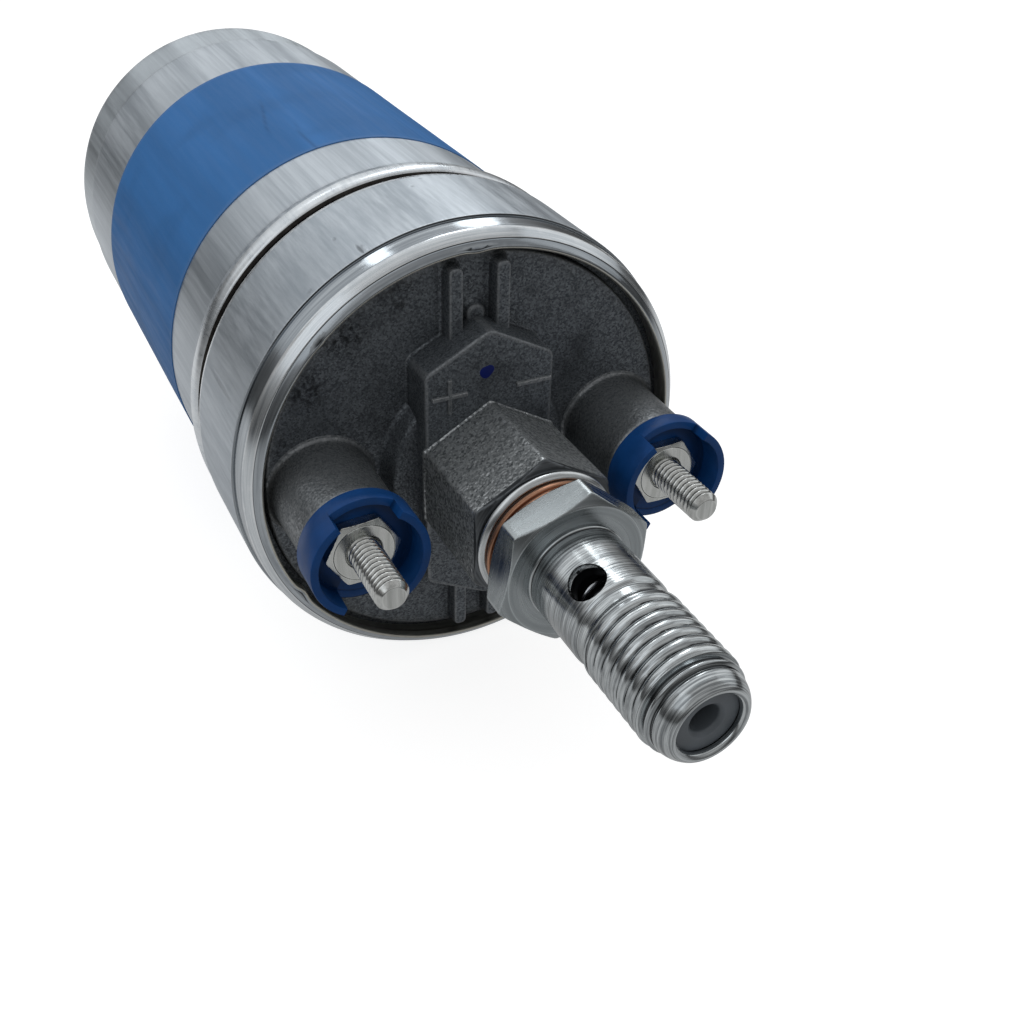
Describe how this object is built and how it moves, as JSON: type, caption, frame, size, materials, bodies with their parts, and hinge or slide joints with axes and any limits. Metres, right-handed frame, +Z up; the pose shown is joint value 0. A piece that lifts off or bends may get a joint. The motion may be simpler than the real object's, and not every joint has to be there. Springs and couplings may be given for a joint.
{
  "type": "electric fuel pump",
  "caption": "Inline electric fuel pump with a threaded outlet, two stud terminals in blue cups and a hose inlet.",
  "frame": {"origin": "on the pump's axis, at the middle of the 60 mm clamping ring", "axes": "-Y along the axis towards the outlet, +Y towards the inlet, +Z up through the point of the cover's pad between the two polarity marks, +X towards the negative terminal"},
  "size_m": [0.06, 0.1901, 0.06],
  "materials": {
    "bare_aluminium": "bare, drawn, with fine streaks along the axis",
    "blue_label": "plain satin foil",
    "cast_grey": "dark die cast, sandy",
    "seal_rubber": "matt",
    "washer_steel": "satin",
    "copper": "bare copper, slightly dulled",
    "zinc_steel": "zinc plated, turned",
    "grey_nylon": "moulded, satin",
    "pale_nylon": "moulded, satin",
    "spring_steel": "drawn wire",
    "bright_steel": "bright plated",
    "blue_plastic": "moulded, half gloss",
    "brown_laminate": "pressed laminate",
    "brass": "plain",
    "ground_steel": "ground",
    "core_steel": "stamped and stacked, dull",
    "enamelled_copper": "enamelled copper wire",
    "bronze": "sintered, oiled",
    "ferrite": "fired ferrite",
    "carbon": "pressed carbon"
  },
  "bodies": {
    "pump_body": {"housing_tube": "bare_aluminium", "label_band": "blue_label", "outlet_cover": "cast_grey", "cover_seal": "seal_rubber", "boss_washer": "washer_steel", "copper_washer": "copper", "outlet_fitting": "zinc_steel", "nylon_guide": "grey_nylon", "check_spring": "spring_steel", "positive_stud": "bright_steel", "negative_stud": "bright_steel", "positive_nut": "bright_steel", "negative_nut": "bright_steel", "positive_cup": "blue_plastic", "negative_cup": "blue_plastic", "stud_washers": "brown_laminate", "inlet_cover": "cast_grey", "inlet_seal": "seal_rubber", "inlet_strainer": "brass", "base_plate": "ground_steel", "pump_ring": "ground_steel", "port_plate": "ground_steel", "pump_screws": "bright_steel", "relief_spring": "spring_steel", "relief_plug": "brass", "front_bearing": "bronze", "rear_bearing": "bronze", "magnet_upper": "ferrite", "magnet_lower": "ferrite", "magnet_clips": "bright_steel", "flux_ring": "core_steel", "brush_plate": "brown_laminate", "brush_tube_positive": "brass", "brush_tube_negative": "brass", "brush_spring_positive": "spring_steel", "brush_spring_negative": "spring_steel", "noise_chokes": "enamelled_copper", "brush_leads": "copper"},
    "armature": {"armature_shaft": "bright_steel", "lamination_stack": "core_steel", "armature_winding": "enamelled_copper", "commutator": "copper", "rotor": "ground_steel", "drive_pin": "bright_steel", "thrust_washers": "pale_nylon"},
    "roller_1_body": {"roller_1": "bright_steel"},
    "roller_2_body": {"roller_2": "bright_steel"},
    "roller_3_body": {"roller_3": "bright_steel"},
    "roller_4_body": {"roller_4": "bright_steel"},
    "roller_5_body": {"roller_5": "bright_steel"},
    "check_valve": {"check_poppet": "pale_nylon"},
    "relief_valve": {"relief_ball": "bright_steel"},
    "brush_positive_body": {"brush_positive": "carbon"},
    "brush_negative_body": {"brush_negative": "carbon"}
  },
  "joints": [
    {"name": "armature_spin", "type": "hinge", "parent": "pump_body", "child": "armature", "pos_m": [0, 0, 0], "axis": [0, -1, 0], "continuous": true},
    {"name": "roller_1_slide", "type": "slide", "parent": "armature", "child": "roller_1_body", "axis": [-1, 0, 0], "range_m": [-0.0011, 0]},
    {"name": "roller_2_slide", "type": "slide", "parent": "armature", "child": "roller_2_body", "axis": [0.309, 0, 0.9511], "range_m": [0, 0.0008]},
    {"name": "roller_3_slide", "type": "slide", "parent": "armature", "child": "roller_3_body", "axis": [-0.809, 0, 0.5878], "range_m": [0, 0.0002]},
    {"name": "roller_4_slide", "type": "slide", "parent": "armature", "child": "roller_4_body", "axis": [-0.809, 0, -0.5878], "range_m": [0, 0.0002]},
    {"name": "roller_5_slide", "type": "slide", "parent": "armature", "child": "roller_5_body", "axis": [-0.309, 0, 0.9511], "range_m": [-0.0015, 0]},
    {"name": "check_valve_lift", "type": "slide", "parent": "pump_body", "child": "check_valve", "axis": [0, -1, 0], "range_m": [0, 0.002], "stiffness_N_per_m": 300, "springref_m": -0.004, "deforming": ["check_spring"]},
    {"name": "relief_valve_lift", "type": "slide", "parent": "pump_body", "child": "relief_valve", "axis": [0, 1, 0], "range_m": [0, 0.0015], "stiffness_N_per_m": 2500, "springref_m": -0.0026, "deforming": ["relief_spring"]},
    {"name": "brush_positive_slide", "type": "slide", "parent": "pump_body", "child": "brush_positive_body", "axis": [-1, 0, 0], "range_m": [0, 0.002], "stiffness_N_per_m": 60, "springref_m": -0.003, "deforming": ["brush_spring_positive"]},
    {"name": "brush_negative_slide", "type": "slide", "parent": "pump_body", "child": "brush_negative_body", "axis": [1, 0, 0], "range_m": [0, 0.002], "stiffness_N_per_m": 60, "springref_m": -0.003, "deforming": ["brush_spring_negative"]}
  ]
}
